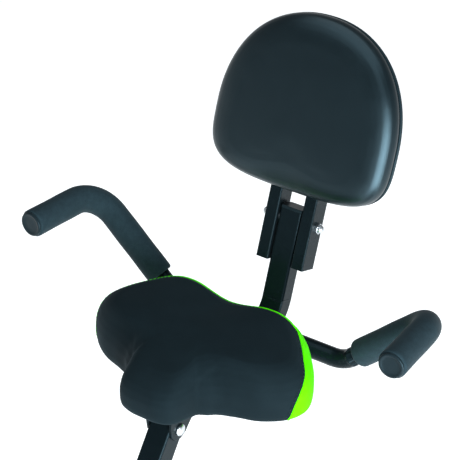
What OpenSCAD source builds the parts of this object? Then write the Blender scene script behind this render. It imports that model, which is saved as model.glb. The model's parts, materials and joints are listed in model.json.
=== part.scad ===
// Folding exercise bike: a padded seat with a backrest and two hand grips on an X-shaped frame
// that carries a belt-driven, magnetically braked flywheel.
// Millimetres. +Z is up, the rider faces -Y, and the rider's left is +X. The floor is Z = 0.

/* [Frame] */
// Lean of the main tube from vertical, towards the rider's back
main_lean = 36; // [35:0.5:37]
// Outer side of the square frame tubes
tube_side = 40; // [38:1:40]
// Wall of the square frame tubes
tube_wall = 1.5; // [1.2:0.1:2]
// Length of each foot tube, across the bike
foot_length = 420; // [380:10:460]
// Angle that the frame opens from its folded state, a limit of the slots in the pivot plates
fold_angle = 33; // [28:1:33]

/* [Seat] */
// Outer side of the square seat post
post_side = 32; // [30:1:32]
// Width of the saddle at its widest
saddle_width = 316; // [300:1:320]
// Distance between the middles of the two seat grips at their front ends
grip_spread = 542; // [520:1:560]
// Outer diameter of the foam grips
foam_diameter = 34; // [32:0.5:36]
// Diameter of the round steel tube in the seat handles and the handlebar
bar_diameter = 25; // [24:0.2:26]

/* [Backrest] */
// Lean of the backrest upright from vertical
back_lean = 19.9; // [18:0.1:21]
// Width of the backrest pad
pad_width = 262; // [240:1:270]
// Height of the backrest pad
pad_height = 227; // [225:1:250]

/* [Drive] */
// Distance from the crank axle to each pedal spindle
crank_length = 125; // [115:1:130]
// Radius of the flywheel
flywheel_radius = 90; // [80:1:92]
// Radius of the driving pulley that turns with the crank
drive_pulley_radius = 84; // [80:1:86]
// Radius of the small pulley that turns with the flywheel
small_pulley_radius = 12; // [11:0.5:14]

/* [Hidden] */
$fn = 48;

// Colours
gloss_black = [0.05, 0.06, 0.07];
soft_black = [0.11, 0.14, 0.16];
plastic_black = [0.08, 0.09, 0.10];
graphite = [0.20, 0.21, 0.23];
lime = [0.45, 0.95, 0.10];
zinc = [0.72, 0.76, 0.80];
steel = [0.55, 0.56, 0.58];

// The bike is drawn from the seat bolt, and bike_shift centres its footprint on the origin.
bike_shift = 257.45;
seat_bolt_y = -136;
seat_bolt_z = 690;

// Stations down the main tube, measured from the seat bolt
tube_top = 95;
fold_bolt_at = 312;
pivot_at = 360;
crank_at = 540;
tube_end = 805;
post_end = 245;
seat_knob_at = 128;

main_down = [0, -sin(main_lean), -cos(main_lean)];
main_front = [0, -cos(main_lean), sin(main_lean)];
function on_main_tube(down, front = 0) =
    [0, seat_bolt_y, seat_bolt_z] + down * main_down + front * main_front;

pivot = on_main_tube(pivot_at);
crank_front = 39.5;
crank_centre = on_main_tube(crank_at, crank_front);
flywheel_centre = [0, -588, 205];
magnet_pivot = flywheel_centre + 103 * [0, cos(100), sin(100)];
front_foot_y = -601;
rear_foot_y = 95;
foot_radius = 25;
foot_height = 28;
// The bolts stand beside the frame tube, through a plate under its end
foot_bolt_x = 29;
foot_plate_half = 38;

// Angles of the folding half, from vertical
leg_foot = [0, rear_foot_y, 50];
leg_lean = atan2(leg_foot[1] - pivot[1], pivot[2] - leg_foot[2]);
leg_length = norm(leg_foot - pivot);
post_lean = 25;
post_top = 632;
leg_start = 56;
post_start = 90;

// Pivot plates, outside the main tube with a nylon washer's gap
plate_gap = 21.2;
plate_thickness = 4;
plate_sector_radius = 66;
pivot_bolt_radius = 6;
fold_bolt_radius = 4;
fold_radius = pivot_at - fold_bolt_at;

// Backrest frame: an origin on the backrest bolt, with Z up the upright
back_origin = [0, 144, 847];
upright_width = 32;
upright_depth = 25;
run_height = 714;
handle_y = 64;
handle_z = 722;
bar_gap = 18;
bar_width = 18;
bar_depth = 30;

// ---------------------------------------------------------------- helpers

module place() translate([0, bike_shift, 0]) children();
module both_sides() for (side = [0, 1]) mirror([side, 0, 0]) children();
// Draws a (y, z) outline in the side plane and extrudes it along +X from x_start
module side_profile(x_start, thickness)
    translate([x_start, 0, 0]) rotate([90, 0, 90]) linear_extrude(thickness) children();
// A cylinder along X
module cross_pin(x_start, length, radius)
    translate([x_start, 0, 0]) rotate([0, 90, 0]) cylinder(r = radius, h = length);
// The main tube's own frame: +Z runs up the tube and -Y is its front face
module main_frame_at(down, front = 0)
    translate(on_main_tube(down, front)) rotate([-main_lean, 0, 0]) children();
// The folding half's frames, from the pivot: +Z runs out along the console post or the rear leg
module along_post(out) translate(pivot) rotate([post_lean, 0, 0]) translate([0, 0, out]) children();
module along_leg(out) translate(pivot) rotate([180 + leg_lean, 0, 0]) translate([0, 0, out]) children();
module along_back() translate(back_origin) rotate([-back_lean, 0, 0]) children();

module rounded_bar(width, depth, length, radius) {
    translate([-width / 2 + radius, -depth / 2, 0]) cube([width - 2 * radius, depth, length]);
    translate([-width / 2, -depth / 2 + radius, 0]) cube([width, depth - 2 * radius, length]);
    for (x = [-1, 1], y = [-1, 1])
        translate([x * (width / 2 - radius), y * (depth / 2 - radius), 0])
            cylinder(r = radius, h = length);
}
module box_tube(width, depth, length, wall, radius = 3)
    difference() {
        rounded_bar(width, depth, length, radius);
        translate([0, 0, -1])
            rounded_bar(width - 2 * wall, depth - 2 * wall, length + 2, radius - wall / 2);
    }
module ring(outer, inner, length)
    difference() {
        cylinder(r = outer, h = length);
        if (inner > 0) translate([0, 0, -1]) cylinder(r = inner, h = length + 2);
    }
// A domed cap nut along +X with its base at x = 0
module cap_nut(across, height) {
    rotate([0, 90, 0]) cylinder(r = across / 2 / cos(30), h = height * 0.45, $fn = 6);
    rotate([0, 90, 0]) cylinder(r1 = across * 0.46, r2 = across * 0.25, h = height);
}

function unit(v) = v / norm(v);
function turn_angle(u, v) = acos(min(1, max(-1, u * v)));
module oriented(origin, x_axis, y_axis, z_axis)
    multmatrix([
        [x_axis[0], y_axis[0], z_axis[0], origin[0]],
        [x_axis[1], y_axis[1], z_axis[1], origin[1]],
        [x_axis[2], y_axis[2], z_axis[2], origin[2]],
        [0, 0, 0, 1]]) children();
module round_piece(a, b, radius) {
    z_axis = unit(b - a);
    x_axis = unit(cross(z_axis, abs(z_axis[0]) < 0.9 ? [1, 0, 0] : [0, 1, 0]));
    oriented(a, x_axis, cross(z_axis, x_axis), z_axis) cylinder(r = radius, h = norm(b - a));
}
// A round bar along points, each inner corner bent to bend_radius, with a fine bead at each join
module bent_bar(points, bend_radius, radius, bead) {
    last = len(points) - 1;
    dirs = [for (i = [0:last - 1]) unit(points[i + 1] - points[i])];
    trim = [for (i = [0:last])
        i == 0 || i == last ? 0 : bend_radius * tan(turn_angle(dirs[i - 1], dirs[i]) / 2)];
    for (i = [0:last - 1])
        round_piece(points[i] + dirs[i] * trim[i], points[i + 1] - dirs[i] * trim[i + 1], radius);
    for (i = [1:1:last - 1]) {
        u = dirs[i - 1];
        v = dirs[i];
        towards = unit(v - (v * u) * u);
        start = points[i] - u * trim[i];
        finish = points[i] + v * trim[i];
        oriented(start + towards * bend_radius, -towards, u, cross(u, towards))
            rotate_extrude(angle = turn_angle(u, v)) translate([bend_radius, 0]) circle(r = radius);
        round_piece(start - u * bead, start + u * bead, radius + 0.06);
        round_piece(finish - v * bead, finish + v * bead, radius + 0.06);
    }
}
module bent_tube(points, bend_radius, outer, inner) {
    last = len(points) - 1;
    first_dir = unit(points[1] - points[0]);
    last_dir = unit(points[last] - points[last - 1]);
    longer = [for (i = [0:last])
        i == 0 ? points[0] - first_dir : i == last ? points[last] + last_dir : points[i]];
    difference() {
        bent_bar(points, bend_radius, outer, 1.5);
        bent_bar(longer, bend_radius, inner, 1.1);
    }
}

// ---------------------------------------------------------------- main frame

module main_tube() color(gloss_black) place() {
    difference() {
        union() {
            main_frame_at(tube_end) box_tube(tube_side, tube_side, tube_end - tube_top, tube_wall);
            // bottom bracket shell, the pivot bush and the threaded boss of the seat knob
            translate(crank_centre) cross_pin(-28, 56, 20);
            translate(pivot) cross_pin(-20.6, 41.2, 10);
            translate(on_main_tube(fold_bolt_at)) cross_pin(-20, 40, 6.5);
            main_frame_at(seat_knob_at, tube_side / 2 - 0.5) rotate([90, 0, 0]) cylinder(r = 9, h = 12);
        }
        translate(crank_centre) cross_pin(-40, 80, 17);
        translate(pivot) cross_pin(-30, 60, pivot_bolt_radius + 0.05);
        translate(on_main_tube(fold_bolt_at)) cross_pin(-30, 60, fold_bolt_radius + 0.05);
        main_frame_at(seat_knob_at, tube_side / 2 - 8) rotate([90, 0, 0]) cylinder(r = 5.05, h = 40);
        // the seat post's way stays clear, and the lower end is cut level over the foot
        translate([-50, front_foot_y - 80, foot_height - 40])
            cube([100, 160, 40 + foot_radius + 3]);
    }
    foot_plate(front_foot_y, 24);
}
// Plate that seats on a foot tube, from reach in front of the bolts' line
module foot_plate(y, reach) translate([0, y, foot_height + foot_radius])
    difference() {
        translate([-foot_plate_half, -reach, 0]) cube([2 * foot_plate_half, 60, 3]);
        for (x = [-1, 1]) translate([x * foot_bolt_x, 0, -1]) cylinder(r = 4.2, h = 5);
    }
module foot_tube(y) translate([0, y, foot_height])
    difference() {
        cross_pin(-foot_length / 2, foot_length, foot_radius);
        cross_pin(-foot_length / 2 - 1, foot_length + 2, foot_radius - 1.5);
        for (x = [-1, 1]) translate([x * foot_bolt_x, 0, -40]) cylinder(r = 4.2, h = 80);
    }
module front_foot_tube() color(gloss_black) place() foot_tube(front_foot_y);
// Two carriage bolts, head under the foot tube and cap nut over the plate at plate_top
module foot_bolts(y, plate_top)
    for (x = [-1, 1]) translate([x * foot_bolt_x, y, 0]) {
        translate([0, 0, 1]) cylinder(r1 = 7, r2 = 9, h = 2);
        translate([0, 0, 3]) cylinder(r = 4, h = plate_top - 3);
        translate([0, 0, plate_top]) rotate([0, -90, 0]) cap_nut(13, 12);
    }
module front_foot_fasteners() color(zinc) place() {
    foot_bolts(front_foot_y, foot_height + foot_radius + 3);
    both_sides() translate([wheel_x - 14, wheel_y, wheel_z]) cross_pin(0, 28, 4);
}

wheel_x = 186;
wheel_y = front_foot_y - 50;
wheel_z = 24;
wheel_radius = 20;
module foot_cap(y) translate([0, y, foot_height]) {
    difference() {
        cross_pin(foot_length / 2 - 45, 50, foot_height);
        cross_pin(foot_length / 2 - 46, 46, foot_radius + 0.05);
    }
    difference() {
        translate([foot_length / 2 - 42, -24, -foot_height]) cube([44, 48, 14]);
        cross_pin(foot_length / 2 - 46, 46.5, foot_radius + 0.05);
    }
}
module front_foot_caps() color(plastic_black) place() both_sides() {
    foot_cap(front_foot_y);
    difference() {
        for (x = [wheel_x - 14, wheel_x + 10.5])
            side_profile(x, 3.5) polygon([
                [front_foot_y - 12, foot_height - 20], [wheel_y - 8, wheel_z - 9],
                [wheel_y - 12, wheel_z], [wheel_y - 8, wheel_z + 10],
                [front_foot_y - 12, foot_height + 24]]);
        translate([0, wheel_y, wheel_z]) cross_pin(wheel_x - 20, 40, 4.05);
        translate([0, front_foot_y, foot_height]) cross_pin(wheel_x - 40, 80, foot_height - 1);
    }
}
module transport_wheel() translate([wheel_x - 9, wheel_y, wheel_z]) rotate([0, 90, 0])
    difference() {
        union() {
            cylinder(r = wheel_radius - 3, h = 18);
            translate([0, 0, 2.5]) cylinder(r = wheel_radius, h = 13);
        }
        translate([0, 0, -1]) cylinder(r = 4.06, h = 20);
        for (z = [-1, 15]) translate([0, 0, z]) ring(wheel_radius - 7, 9, 4);
    }
module transport_wheel_left() color(graphite) place() transport_wheel();
module transport_wheel_right() color(graphite) place() mirror([1, 0, 0]) transport_wheel();

module seat_tube_bush() color(plastic_black) place() main_frame_at(tube_top)
    difference() {
        union() {
            rounded_bar(tube_side + 3, tube_side + 3, 9, 5);
            translate([0, 0, -60])
                rounded_bar(tube_side - 2 * tube_wall - 0.4, tube_side - 2 * tube_wall - 0.4, 61, 2);
        }
        translate([0, 0, -80]) rounded_bar(post_side + 0.4, post_side + 0.4, 120, 3);
        translate([0, 0, tube_top - seat_knob_at]) rotate([90, 0, 0]) cylinder(r = 5.2, h = 40);
    }
// A five-lobed hand knob whose screw points along -Z from z = 0
module star_knob(radius, height) {
    difference() {
        union() {
            cylinder(r = radius * 0.86, h = height);
            for (a = [0:72:288]) rotate([0, 0, a]) translate([radius * 0.74, 0, 0])
                cylinder(r = radius * 0.3, h = height);
            translate([0, 0, -6]) cylinder(r = radius * 0.42, h = 7);
        }
        for (a = [36:72:324]) rotate([0, 0, a]) translate([radius * 1.12, 0, -1])
            cylinder(r = radius * 0.34, h = height + 2);
    }
}
module seat_knob() color(plastic_black) place()
    main_frame_at(seat_knob_at, tube_side / 2 + 11.7) rotate([90, 0, 0]) {
        translate([0, 0, 6]) star_knob(22, 18);
        translate([0, 0, -15.1]) cylinder(r = 5, h = 16);
    }

// ---------------------------------------------------------------- drive housing and drive

housing_half = 66;
housing_wall = 2.5;
housing_crank_radius = 110;
housing_front_radius = 117;
// Outline round the pulley and the flywheel: two circles and the tangent band between them
module housing_outline(inset) {
    a = [crank_centre[1], crank_centre[2]];
    b = [flywheel_centre[1], flywheel_centre[2]];
    ra = housing_crank_radius - inset;
    rb = housing_front_radius - inset;
    span = norm(b - a);
    heading = atan2(b[1] - a[1], b[0] - a[0]);
    swing = acos((ra - rb) / span);
    translate(a) circle(r = ra, $fn = 96);
    translate(b) circle(r = rb, $fn = 96);
    polygon([
        a + ra * [cos(heading + swing), sin(heading + swing)],
        b + rb * [cos(heading + swing), sin(heading + swing)],
        b + rb * [cos(heading - swing), sin(heading - swing)],
        a + ra * [cos(heading - swing), sin(heading - swing)]]);
}
housing_screw_places = [
    [crank_centre[1] + 52, crank_centre[2] + 88], [crank_centre[1] + 88, crank_centre[2] - 50],
    [crank_centre[1] + 18, crank_centre[2] - 102], [flywheel_centre[1] - 85, flywheel_centre[2] - 60]];
module housing_shell() {
    difference() {
        union() {
            difference() {
                side_profile(0.05, housing_half - 8) housing_outline(0);
                side_profile(-1, housing_half - 8 + 1.1) housing_outline(housing_wall);
            }
            // stepped edge that reads as the rounded side of the case
            difference() {
                side_profile(housing_half - 8, 5) housing_outline(2.5);
                side_profile(housing_half - 9, 6.1) housing_outline(2.5 + housing_wall);
            }
            side_profile(housing_half - 3, 3) housing_outline(6);
            difference() {
                side_profile(housing_half - 5.5, 2.6) housing_outline(3);
                side_profile(housing_half - 6, 3.2) housing_outline(6);
            }
            // posts for the screws
            for (p = housing_screw_places) translate([0, p[0], p[1]]) {
                cross_pin(0.05, housing_half - 2, 5);
            }
        }
        translate(crank_centre) cross_pin(-1, housing_half + 10, 24);
        main_frame_at(tube_end + 20)
            translate([-tube_side / 2 - 0.5, -tube_side / 2 - 0.5, 0])
            cube([tube_side + 1, tube_side + 1, 500]);
        for (p = housing_screw_places) translate([0, p[0], p[1]]) {
            cross_pin(-1, housing_half + 10, 2.05);
            cross_pin(housing_half - 2, 20, 4.2);
        }
    }
}
module housing_left() color(plastic_black) place() housing_shell();
module housing_right() color(plastic_black) place() mirror([1, 0, 0]) housing_shell();
module housing_screws() color(zinc) place()
    for (p = housing_screw_places) translate([0, p[0], p[1]]) {
        cross_pin(-20, housing_half + 18, 2);
        cross_pin(housing_half - 2, 1.6, 4);
    }
module bottom_bracket_cups() color(steel) place() translate(crank_centre) both_sides()
    difference() {
        union() {
            cross_pin(16, 12.5, 16.95);
            cross_pin(28, 2.5, 19);
        }
        cross_pin(10, 40, 8.55);
    }

module crank_axle() color(steel) place() translate(crank_centre) {
    cross_pin(-70, 140, 8.5);
    both_sides() {
        cross_pin(69, 16, 7);
        cross_pin(84, 5, 9);
    }
}
crank_rest = 28;
// An arm that points along -Y before it is turned, with its inner face at x = 70
module crank_arm() difference() {
    union() {
        cross_pin(70, 14, 17);
        translate([0, -crank_length, 0]) cross_pin(72, 12, 13);
        side_profile(72, 12)
            polygon([[0, -14], [0, 14], [-crank_length, 10], [-crank_length, -10]]);
    }
    cross_pin(60, 40, 7.03);
    translate([0, -crank_length, 0]) cross_pin(60, 40, 7.03);
    cross_pin(65, 5.03, 8.6);
}
module crank_arm_left() color(gloss_black) place()
    translate(crank_centre) rotate([crank_rest, 0, 0]) crank_arm();
module crank_arm_right() color(gloss_black) place()
    translate(crank_centre) rotate([180 + crank_rest, 0, 0]) mirror([1, 0, 0]) crank_arm();

belt_x = -40;
belt_width = 8;
module drive_pulley() color(graphite) place() translate(crank_centre)
    difference() {
        union() {
            cross_pin(belt_x, belt_width, drive_pulley_radius);
            cross_pin(belt_x - 1.5, 1.5, drive_pulley_radius + 3);
            cross_pin(belt_x - 6, 6, 20);
        }
        cross_pin(belt_x - 20, 60, 8.5);
        for (a = [0:60:300]) rotate([a, 0, 0]) translate([0, 52, 0])
            cross_pin(belt_x - 20, 60, 19);
    }
flywheel_x = -60;
module flywheel() color(steel) place() translate(flywheel_centre)
    difference() {
        union() {
            cross_pin(flywheel_x, 14, flywheel_radius);
            cross_pin(flywheel_x + 14, 4.5, 20);
            cross_pin(belt_x - 0.5, belt_width + 1, small_pulley_radius);
            cross_pin(belt_x - 1.5, 1.5, small_pulley_radius + 3);
        }
        cross_pin(flywheel_x - 5, 60, 5.05);
        translate([flywheel_x - 1, 0, 0]) rotate([0, 90, 0]) ring(flywheel_radius - 16, 26, 6);
    }
module flywheel_axle() color(zinc) place() translate(flywheel_centre) {
    cross_pin(-62.5, 49.5, 5);
    cross_pin(-20, 6, 9);
    cross_pin(-28.9, 4.8, 8);
    // the magnet bracket's pin, with its head
    translate(magnet_pivot - flywheel_centre) {
        cross_pin(-51, 33, 4);
        cross_pin(-52.5, 2, 7);
    }
}
module flywheel_bracket() color(gloss_black) place()
    difference() {
        side_profile(-24, 4) polygon([
            [on_main_tube(600)[1] + 6, on_main_tube(600)[2] - 4],
            [on_main_tube(705)[1] + 6, on_main_tube(705)[2] - 4],
            [on_main_tube(705)[1] - 14, on_main_tube(705)[2] + 2],
            [flywheel_centre[1] - 10, flywheel_centre[2] - 16],
            [flywheel_centre[1] - 18, flywheel_centre[2]],
            [magnet_pivot[1] - 10, magnet_pivot[2]],
            [magnet_pivot[1], magnet_pivot[2] + 10],
            [magnet_pivot[1] + 10, magnet_pivot[2]],
            [flywheel_centre[1] + 30, flywheel_centre[2] + 20]]);
        translate(flywheel_centre) cross_pin(-40, 40, 5.0);
        translate(magnet_pivot) cross_pin(-40, 40, 4.0);
    }
// Arc arm with its magnets, outside the flywheel's rim, on a pin at its top end
magnet_inner = flywheel_radius + 4;
magnet_start = 101;
magnet_end = 190;
module magnet_bracket() color(steel) place() difference() {
    union() {
        translate(flywheel_centre) {
            translate([-61, 0, 0]) rotate([90, 0, 90]) rotate([0, 0, magnet_start])
                rotate_extrude(angle = magnet_end - magnet_start, $fn = 72)
                    translate([magnet_inner + 3.7, 0]) square([3.3, 18]);
            for (a = [112:18:184])
                translate([-58, 0, 0]) rotate([90, 0, 90]) rotate([0, 0, a])
                    rotate_extrude(angle = 12, $fn = 72)
                        translate([magnet_inner, 0]) square([4, 12]);
        }
        translate(magnet_pivot) cross_pin(-50, 25.5, 7.5);
    }
    translate(magnet_pivot) cross_pin(-60, 60, 4.05);
    // room for the head of the pin
    translate(magnet_pivot) cross_pin(-62, 11.8, 7.4);
}
// The belt's line: arcs round both pulleys, joined by straight runs, as one closed outline
function belt_outline(grow) =
    let (a = [crank_centre[1], crank_centre[2]], b = [flywheel_centre[1], flywheel_centre[2]],
        heading = atan2(b[1] - a[1], b[0] - a[0]),
        swing = acos((drive_pulley_radius - small_pulley_radius) / norm(b - a)),
        rest = 360 - 2 * swing)
    concat(
        [for (i = [0:64]) let (t = heading + swing + rest * i / 64)
            a + (drive_pulley_radius + grow) * [cos(t), sin(t)]],
        [for (i = [0:16]) let (t = heading - swing + 2 * swing * i / 16)
            b + (small_pulley_radius + grow) * [cos(t), sin(t)]]);
module drive_belt() color(plastic_black) place()
    side_profile(belt_x + 0.5, belt_width - 1) difference() {
        polygon(belt_outline(1.8));
        polygon(belt_outline(0.2));
    }

// ---------------------------------------------------------------- folding half

module fold_bolt() color(zinc) place() translate(on_main_tube(fold_bolt_at)) {
    cross_pin(-32, 60, fold_bolt_radius);
    cross_pin(-32, 5.5, 9);
}
module fold_knob() color(plastic_black) place() translate(on_main_tube(fold_bolt_at))
    difference() {
        translate([32.4, 0, 0]) rotate([0, 90, 0]) star_knob(26, 20);
        cross_pin(20, 8.5, fold_bolt_radius + 0.05);
    }
function polar(radius, angle) = radius * [cos(angle), sin(angle)];
// A slot with round ends that follows an arc centred on the origin
function arc_slot(radius, start, sweep, half_width) = concat(
    [for (i = [0:12]) polar(radius + half_width, start + sweep * i / 12)],
    [for (a = [20:20:160]) polar(radius, start + sweep) + polar(half_width, start + sweep + a)],
    [for (i = [12:-1:0]) polar(radius - half_width, start + sweep * i / 12)],
    [for (a = [20:20:160]) polar(radius, start) + polar(half_width, start + 180 + a)]);
// Round hub, a sector that holds the curved slot, and one strip along the post and one along the leg
module pivot_plate() translate(pivot) difference() {
    side_profile(plate_gap, plate_thickness) difference() {
        union() {
            circle(r = 34, $fn = 96);
            polygon(concat([polar(-20, 75)], [for (i = [0:17]) polar(plate_sector_radius, 41 + 4 * i)]));
            rotate(post_lean) translate([-19, -8]) square([38, 168]);
            rotate(180 + leg_lean) translate([-19, -5]) square([38, 130]);
        }
        polygon(arc_slot(fold_radius, 90 - main_lean, fold_angle, fold_bolt_radius + 0.3));
    }
    cross_pin(0, 60, pivot_bolt_radius + 0.05);
}
module pivot_plates() color(gloss_black) place() both_sides() pivot_plate();
module pivot_bolt() color(zinc) place() translate(pivot) {
    cross_pin(-30, 60, pivot_bolt_radius);
    cross_pin(-32.2, 7, 11);
    translate([plate_gap + plate_thickness, 0, 0]) cap_nut(19, 16);
}
module welded_spacers(length)
    both_sides() translate([tube_side / 2, -tube_side / 2 + 1, 0])
        cube([plate_gap - tube_side / 2, tube_side - 2, length]);
module rear_leg() color(gloss_black) place() {
    difference() {
        along_leg(leg_start) {
            box_tube(tube_side, tube_side, leg_length - leg_start + 30, tube_wall);
            welded_spacers(66);
        }
        translate([-50, rear_foot_y - 80, foot_height - 80]) cube([100, 240, 80 + foot_radius + 3]);
    }
    foot_plate(rear_foot_y, 34);
}
module rear_foot_tube() color(gloss_black) place() foot_tube(rear_foot_y);
module rear_foot_caps() color(plastic_black) place() both_sides() foot_cap(rear_foot_y);
module rear_foot_fasteners() color(zinc) place() foot_bolts(rear_foot_y, foot_height + foot_radius + 3);

module console_post() color(gloss_black) place() along_post(post_start) {
    box_tube(tube_side, tube_side, post_top - post_start, tube_wall);
    welded_spacers(68);
}
// Handlebar: across the top of the post, then forward and up at each end like short horns
handlebar_out = post_top + 13.5;
horn_end = [205, -118, 34];
horn_corner = [190, 0, 0];
horn_dir = unit(horn_end - horn_corner);
module at_handlebar() translate(pivot) rotate([post_lean, 0, 0])
    translate([0, 0, handlebar_out]) rotate([-post_lean, 0, 0]) children();
module handlebar() color(gloss_black) place() at_handlebar()
    bent_tube([[-horn_end[0], horn_end[1], horn_end[2]], -horn_corner, horn_corner, horn_end],
        45, bar_diameter / 2, bar_diameter / 2 - 1.5);
module handlebar_grips() color(soft_black) place() at_handlebar() both_sides() {
    bent_tube([[88, 0, 0], horn_corner, horn_end + horn_dir], 45,
        foam_diameter / 2 - 1, bar_diameter / 2 + 0.1);
    round_piece(horn_end + horn_dir * 0.3, horn_end + horn_dir * 5, foam_diameter / 2 - 1.2);
}
module handlebar_clamp() color(plastic_black) place() along_post(post_top)
    difference() {
        union() {
            translate([0, 0, 0.2]) rounded_bar(56, 52, 30, 8);
            translate([0, 0, -30]) rounded_bar(tube_side - 3.6, tube_side - 3.6, 31, 2);
        }
        translate([0, 0, 13.5]) cross_pin(-60, 120, bar_diameter / 2 + 0.05);
    }
module pulse_sensors() color(zinc) place() at_handlebar() both_sides()
    translate([38, 0, 0]) rotate([0, 90, 0]) ring(bar_diameter / 2 + 2.2, bar_diameter / 2 + 0.05, 44);

// Console: a case on a short neck that faces the rider over the handlebar
console_tilt = 40;
console_out = post_top + 62;
case_depth = 92;
case_y = -22;
case_top = 18;
screen_y = -32;
button_y = 11;
module at_console() along_post(console_out) rotate([-post_lean - console_tilt, 0, 0]) children();
module console_case() color(plastic_black) place() {
    along_post(post_top + 30.2) translate([-24, -13, 0]) cube([48, 26, 31]);
    at_console() difference() {
        union() {
            translate([0, case_y, 0]) rounded_bar(150, case_depth, case_top, 16);
            translate([0, case_y, -8]) rounded_bar(118, case_depth - 22, 9, 14);
        }
        translate([0, screen_y, case_top - 3]) rounded_bar(112.4, 56.4, 10, 4.2);
        translate([0, button_y, case_top - 9]) cylinder(r = 9.3, h = 20);
    }
}
module console_screen() color(graphite) place() at_console()
    translate([0, screen_y, case_top - 3]) rounded_bar(112, 56, 2.6, 4);
module console_button() color(lime) place() at_console()
    translate([0, button_y, case_top - 4]) cylinder(r = 9, h = 7);

knob_out = 470;
module knob_base() color(plastic_black) place() along_post(knob_out)
    translate([0, tube_side / 2, 0]) rotate([-90, 0, 0]) difference() {
        cylinder(r1 = 27, r2 = 24, h = 14);
        translate([0, 0, 7]) cylinder(r = 5.1, h = 10);
    }
module tension_knob() color(graphite) place() along_post(knob_out)
    translate([0, tube_side / 2 + 14.3, 0]) rotate([-90, 0, 0]) {
        difference() {
            cylinder(r1 = 22, r2 = 19, h = 22);
            for (a = [0:30:330]) rotate([0, 0, a]) translate([24, 0, 3]) cylinder(r = 3.4, h = 30);
        }
        translate([0, 0, -6.5]) cylinder(r = 5, h = 8);
        translate([-2, 4, 21.5]) cube([4, 13, 3]);
    }

// ---------------------------------------------------------------- pedals

pedal_inner = 92;
pedal_length = 92;
left_pedal_centre = crank_centre
    + [0, -crank_length * cos(crank_rest), -crank_length * sin(crank_rest)];
right_pedal_centre = crank_centre
    + [0, crank_length * cos(crank_rest), crank_length * sin(crank_rest)];
module pedal_spindle() {
    cross_pin(72.5, 11.5, 7);
    cross_pin(84, 4, 8.5);
    cross_pin(88, 86, 6);
}
module pedal_spindles() color(zinc) place() {
    translate(left_pedal_centre) pedal_spindle();
    translate(right_pedal_centre) mirror([1, 0, 0]) pedal_spindle();
}
// Pedal cage with a foot plate, ribs and a round barrel on the spindle
module pedal() difference() {
    union() {
        cross_pin(pedal_inner, pedal_length, 11);
        translate([pedal_inner, -44, -12]) cube([6, 88, 24]);
        translate([pedal_inner + pedal_length - 6, -44, -12]) cube([6, 88, 24]);
        for (y = [-44, 40]) translate([pedal_inner, y, -12]) cube([pedal_length, 4, 24]);
        for (y = [-30, -17, 13, 26]) translate([pedal_inner, y, 2]) cube([pedal_length, 4, 10]);
        translate([pedal_inner, -44, -1]) cube([pedal_length, 88, 3.5]);
    }
    cross_pin(pedal_inner - 5, pedal_length - 3, 6.05);
}
module pedal_left() color(plastic_black) place() translate(left_pedal_centre) pedal();
module pedal_right() color(plastic_black) place()
    translate(right_pedal_centre) mirror([1, 0, 0]) pedal();
strap_centre = pedal_inner + pedal_length / 2;
// The strap's inner or outer line: straight up both sides of the pedal, and arched over the foot
function strap_arch(grow) = [for (a = [0:7.5:180])
    [strap_centre + (pedal_length / 2 + 0.1 + grow) * cos(a), 12.5 + (43.5 + grow) * pow(sin(a), 0.8)]];
module pedal_strap() difference() {
    translate([0, 14, 0]) rotate([90, 0, 0]) linear_extrude(26)
        polygon(concat(
            [[strap_centre + pedal_length / 2 + 2.3, -9]], strap_arch(2.2),
            [[pedal_inner - 2.3, -9], [pedal_inner - 0.1, -9]],
            [for (i = [24:-1:0]) strap_arch(0)[i]],
            [[strap_centre + pedal_length / 2 + 0.1, -9]]));
    // the spindle goes through the inner side
    cross_pin(pedal_inner - 5, 10, 6.5);
}
module pedal_strap_left() color(plastic_black) place() translate(left_pedal_centre) pedal_strap();
module pedal_strap_right() color(plastic_black) place()
    translate(right_pedal_centre) mirror([1, 0, 0]) pedal_strap();

// ---------------------------------------------------------------- seat

module seat_post() color(gloss_black) place() difference() {
    main_frame_at(post_end) box_tube(post_side, post_side, post_end + 60, tube_wall);
    translate([-50, -300, seat_bolt_z + 19]) cube([100, 400, 200]);
    translate(on_main_tube(0)) cross_pin(-30, 60, 4.1);
    // holes that mark the heights
    for (down = [30:25:205]) main_frame_at(down) rotate([-90, 0, 0]) cylinder(r = 5, h = 40);
}
bracket_top = run_height + upright_depth / 2 + 3;
ear_x = post_side / 2 + 0.2;
saddle_stud_y = [-60, -128];
module seat_bracket() color(gloss_black) place() difference() {
    union() {
        translate([-ear_x - 3, -150, bracket_top - 3]) cube([2 * ear_x + 6, 128, 3]);
        both_sides() side_profile(ear_x, 3) polygon([
            [-150, bracket_top - 3], [-22, bracket_top - 3], [-40, 708], [-92, 706], [-112, 692],
            [-124, 680], [-134, 676], [-146, 678], [-152, 686], [-154, 700]]);
    }
    translate(on_main_tube(0)) cross_pin(-30, 60, 4.1);
    for (y = saddle_stud_y) translate([0, y, bracket_top - 10]) cylinder(r = 4.2, h = 20);
}
module seat_fasteners() color(zinc) place() {
    translate(on_main_tube(0)) {
        cross_pin(-ear_x - 3, 2 * ear_x + 6, 4);
        translate([ear_x + 3, 0, 0]) rotate([0, 90, 0]) cylinder(r1 = 8, r2 = 5.5, h = 4);
        mirror([1, 0, 0]) translate([ear_x + 3, 0, 0]) cap_nut(13, 9);
    }
    for (y = saddle_stud_y) translate([0, y, 0]) {
        translate([0, 0, bracket_top - 11]) cylinder(r = 3.9, h = 17);
        if (y < -100) translate([0, 0, bracket_top - 11]) cylinder(r = 7.5, h = 7.9, $fn = 6);
    }
}
bend_radius = 50;
upright_top = 14.6;
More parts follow.
